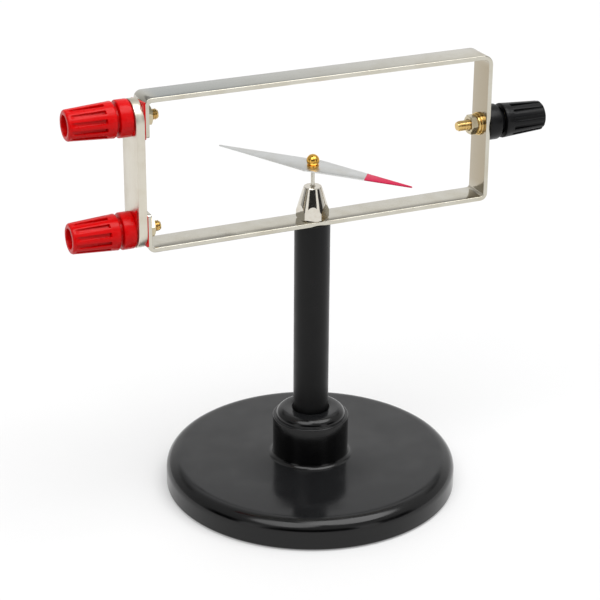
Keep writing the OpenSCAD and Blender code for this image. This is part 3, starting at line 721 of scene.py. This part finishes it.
def make_washers(finish):
    place, bore = post_frame("right"), STUD_R + 0.1
    flat_low = -STRIP_T - FLAT_WASHER_T
    profile = rounded([(bore, flat_low + 0.4), (bore, flat_low, 0.1), (FLAT_WASHER_R, flat_low, 0.12),
                       (FLAT_WASHER_R, -STRIP_T, 0.12), (bore, -STRIP_T, 0.1), (bore, flat_low + 0.4)])
    make("right_flat_washer_form", lathe(profile[:-1], 96, True), finish, "stand", "right_flat_washer",
         place)
    z_low, z_high = flat_low - SPRING_WASHER_T, flat_low
    start, count = math.asin(SPRING_SLIT / 2 / SPRING_WASHER_R) * 1.4, 72
    rings = []
    for k in range(count + 1):
        turn = start + (TAU - 2 * start) * k / count
        section = rounded([(bore, z_low + 0.5), (bore, z_low, 0.15), (SPRING_WASHER_R, z_low, 0.2),
                           (SPRING_WASHER_R, z_high, 0.2), (bore, z_high, 0.15), (bore, z_low + 0.5)])[:-1]
        rings.append([(r * math.cos(turn), r * math.sin(turn), z) for r, z in section])
    make("right_spring_washer_form", bridge(rings), finish, "stand", "right_spring_washer",
         place)


def make_posts(finishes):
    brass, red, black = finishes["brass"], finishes["red"], finishes["black"]
    for name, turn in (("upper", 0), ("lower", 180)):
        face = LEFT_FACE - low(name + "_collar", X) - COLLAR_NECK_L
        make_post(name, brass, FRONT_T, face, high(name + "_post", X) - LEFT_FACE)
        make_collar(name, red, FRONT_T, face)
        make_knob(name, red, 4.0)
        make_insulators(name, red, turn)
        make_nut(name, finishes["nut"], -(TIE_T + REAR_T + STRIP_T), RED_NUT_TURN)
    face = high("right_collar", X) - RIGHT_FACE - COLLAR_NECK_L
    make_post("right", brass, 0, face, RIGHT_FACE - low("right_post", X))
    make_collar("right", black, 0, face)
    make_knob("right", black, 0)
    make_washers(brass)
    make_nut("right", finishes["nut"], -STRIP_T - FLAT_WASHER_T - SPRING_WASHER_T, 0)


# Pivot and needle

CAP_AF, CAP_TOP_R, CAP_SLOPE, CAP_CHAMFER, CAP_TURN, CAP_HOLE_L = 9.5, 3.0, 0.3, 0.5, 8, 3.3
PIN_R, PIN_POINT = 0.65, 1.8
NEEDLE_TURN, NEEDLE_L, NEEDLE_W, NEEDLE_T, TIP_R, SIDE_R = -56, 74.0, 11.3, 0.4, 0.3, 1.0
PAINT_START, PAINT_SLANT = 20.0, 0.36
BALL_R, BALL_UP, FLANGE_R, FLANGE_T, TAIL_R, HUB_BORE_R = 2.13, 1.66, 2.0, 0.3, 1.5, 1.0


def make_cap(finish):
    """Cone over a hexagonal prism, cut by its flats along curved creases."""
    bottom, top = low("pivot_cap", Z), high("pivot_cap", Z)
    half, edge_r, count = CAP_AF / 2, CAP_TOP_R + 0.08, 192
    lower, crease, upper = [], [], []
    for k in range(count):
        angle = TAU * k / count
        r = hex_reach(angle, half)
        crease_z = top - (r - CAP_TOP_R) / CAP_SLOPE
        x, y = math.cos(angle), math.sin(angle)
        lower.append((r * x, r * y, bottom + hex_past(r, half) * CAP_CHAMFER))
        crease.append((r * x, r * y, crease_z))
        upper.append((edge_r * x, edge_r * y, top - 0.08 / CAP_SLOPE))
    hole_r = PIN_R + 0.02
    rings = [circle(0.5, bottom, count), circle(half - 0.03, bottom, count), lower, crease, upper]
    rings += [circle(r, z, count) for r, z in ((CAP_TOP_R - 0.12, top), (PIN_R + 0.4, top), (hole_r, top - 0.4),
                                               (hole_r, top - CAP_HOLE_L))]
    place = Matrix.Rotation(math.radians(CAP_TURN), 4, "Z")
    make("pivot_cap_form", bridge(rings), finish, "stand", "pivot_cap", place, sharp=12)


def make_pin(finish):
    bottom, top = low("pivot_pin", Z), high("pivot_pin", Z)
    profile = [(0, bottom), (PIN_R - 0.05, bottom), (PIN_R, bottom + 0.05), (PIN_R, top - PIN_POINT),
               (0.04, top - 0.02), (0, top)]
    make("pivot_pin_form", lathe(profile, 64), finish, "stand", "pivot_pin")


def needle_outline(length, width):
    """Counter-clockwise outline of the slim lozenge, as (point, outward normal)."""
    tip_x, side_y = length / 2 - TIP_R, width / 2 - SIDE_R
    slope = math.degrees(math.atan2(side_y, tip_x) + math.asin((SIDE_R - TIP_R) / math.hypot(tip_x, side_y)))
    near = 90 - slope
    return arc_outline([(tip_x, 0, TIP_R, -near, near), (0, side_y, SIDE_R, near, 180 - near),
                        (-tip_x, 0, TIP_R, 180 - near, 180 + near),
                        (0, -side_y, SIDE_R, 180 + near, 360 - near)], 6)


def make_blade(finish, paint, top):
    """The lozenge blade, with paint beyond a slanted cut near one tip."""
    place = Matrix.Translation((0, 0, top - NEEDLE_T)) @ Matrix.Rotation(math.radians(NEEDLE_TURN), 4, "Z")
    skin = plate(needle_outline(NEEDLE_L, NEEDLE_W), NEEDLE_T, 0.06)
    blade = make("needle_blade_form", skin, finish, "needle", "needle_blade", place, extra=(paint,))
    work = bmesh.new()
    work.from_mesh(blade.data)
    turn = place.to_3x3()
    normal = turn @ Vector((1, PAINT_SLANT, 0)).normalized()
    origin = place @ Vector((PAINT_START, 0, 0)) * MM
    geometry = work.verts[:] + work.edges[:] + work.faces[:]
    bmesh.ops.bisect_plane(work, geom=geometry, plane_co=origin, plane_no=normal)
    for face in work.faces:
        if (face.calc_center_median() - origin).dot(normal) > 0:
            face.material_index = 1
    work.to_mesh(blade.data)
    work.free()


def make_hub(finish, top):
    """The ball over a flange on the blade's top, and a second flange below the blade."""
    bottom = low("needle_hub", Z)
    ball_z = top + BALL_UP
    join = math.asin((top + FLANGE_T - ball_z) / BALL_R)
    profile = rounded([(HUB_BORE_R, bottom + 1.2), (HUB_BORE_R, bottom, 0.08), (FLANGE_R, bottom, 0.1),
                       (FLANGE_R, bottom + FLANGE_T, 0.1), (TAIL_R, bottom + FLANGE_T), (TAIL_R, top),
                       (FLANGE_R, top, 0.08), (FLANGE_R, top + FLANGE_T, 0.1),
                       (BALL_R * math.cos(join), top + FLANGE_T)])
    profile += quarter(0, ball_z, BALL_R, math.degrees(join), 90, 32)[1:]
    make("needle_hub_form", lathe(profile, 128), finish, "needle", "needle_hub", sharp=45)


def make_needle(finishes):
    top = high("needle_blade", Z)
    make_blade(finishes["needle"], finishes["paint"], top)
    make_hub(finishes["hub"], top)


INNER_NODES = {"pillar_screw": "screw", "pillar_washer": "screw", "clamp_stud": "screw", "needle_jewel": "jewel",
               "upper_knob_insert": "brass", "lower_knob_insert": "brass", "right_knob_insert": "brass"}


def dress_inner_nodes(finishes):
    """Nodes that show little or nothing keep their CAD mesh and get a finish."""
    for node, finish in INNER_NODES.items():
        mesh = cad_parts[node].data
        mesh.materials.clear()
        mesh.materials.append(finishes[finish].material)


# Room

FLOOR_RINGS = (12000, 2600, 1200, 400, 60)
FLOOR_LIFT = 0.25


def whiten(finish):
    """Lifts the floor to white where it is seen directly or in metal, on top of its own light and shadow."""
    rays = finish.node("ShaderNodeLightPath").outputs
    seen = finish.math("MAXIMUM", rays["Is Camera Ray"], rays["Is Glossy Ray"])
    seen = finish.math("MAXIMUM", seen, rays["Is Transmission Ray"])
    finish.set("Emission Color", (1, 1, 1, 1))
    finish.link(finish.math("MULTIPLY", seen, FLOOR_LIFT), finish.shader.inputs["Emission Strength"])


def make_floor():
    mesh = bpy.data.meshes.new("floor")
    verts, faces = bridge([circle(r, 0, 96) for r in FLOOR_RINGS])
    inner = faces[-1]
    mesh.from_pydata([tuple(Vector(v) * MM) for v in verts], [], [f for f in faces if len(f) == 4] + [inner])
    floor = bpy.data.objects.new("floor", mesh)
    scene.collection.objects.link(floor)
    finish = Finish("floor white", (0.54, 0.54, 0.54, 1), 0, 0.6, Specular_IOR_Level=0.2)
    cloud = finish.noise(finish.coords(), 0.02, 2)
    finish.tint(finish.spread(cloud, 0.3, 0.7, 0, 0.3), (0.53, 0.53, 0.535, 1))
    whiten(finish)
    mesh.materials.append(finish.material)


def lamp(name, toward, strength, spread):
    """A soft distant lamp that shines from the given direction."""
    data = bpy.data.lights.new(name, "SUN")
    data.energy = strength
    data.angle = math.radians(spread)
    light = bpy.data.objects.new(name, data)
    light.rotation_euler = Vector(toward).to_track_quat("Z", "Y").to_euler()
    scene.collection.objects.link(light)


def make_world():
    """A pale room, fixed in space. Front is 1 towards the side that the photograph was taken from."""
    world = bpy.data.worlds.new("room")
    world.use_nodes = True
    scene.world = world
    room = Nodes(world.node_tree)

    def smooth(value, start, end, low=0.0, high=1.0):
        return room.spread(value, start, end, low, high, "SMOOTHSTEP")

    def product(*values):
        total = values[0]
        for value in values[1:]:
            total = room.math("MULTIPLY", total, value)
        return total

    aim = room.node("ShaderNodeTexCoord").outputs["Generated"]
    toward = room.node("ShaderNodeVectorMath", operation="DOT_PRODUCT")
    toward.inputs[1].default_value = (math.sin(YAW), -math.cos(YAW), 0)
    room.link(aim, toward.inputs[0])
    front, place = toward.outputs["Value"], room.axes(aim)
    side, height = place["X"], place["Z"]
    # Walls and ceiling: brighter overhead, to the right and at the back, with a darker strip high on the back wall
    sky = product(smooth(height, 0.0, 0.9, 0.55, 0.68), smooth(side, -1, 1, 0.8, 1.12),
                  smooth(front, -0.9, -0.5, 1.5, 1.0))
    strip = product(smooth(height, 0.48, 0.52), smooth(height, 0.58, 0.66, 1.0, 0.0),
                    smooth(front, -0.6, -0.3, 1.0, 0.0))
    sky = product(sky, smooth(strip, 0.0, 1.0, 1.0, 0.35))
    # Low on the front side: a dark gap, with a bright window on each side of its middle
    band = smooth(height, 0.22, 0.5, 1.0, 0.0)
    gap = product(band, smooth(front, 0.0, 0.25))
    window = product(smooth(front, 0.54, 0.62), smooth(front, 0.78, 0.84, 1.0, 0.0), band)
    light = room.math("ADD", product(sky, smooth(gap, 0.0, 1.0, 1.0, 0.06)), product(window, 1.1))
    back = room.tree.nodes["Background"]
    back.inputs["Color"].default_value = (1, 1, 1, 1)
    room.link(light, back.inputs["Strength"])


def make_room():
    make_floor()
    make_world()
    lamp("key", (-0.7, -0.6, 1.3), 1.15, 40)
    lamp("top", (0.25, -0.3, 0.95), 1.8, 45)


aim_camera()
finishes = make_finishes()
make_stand(finishes)
make_frame_strip(finishes["strip"])
make_tie_strip(finishes["tie"])
make_posts(finishes)
make_cap(finishes["cap"])
make_pin(finishes["pin"])
make_needle(finishes)
dress_inner_nodes(finishes)
make_room()
scene.view_settings.view_transform = "Standard"
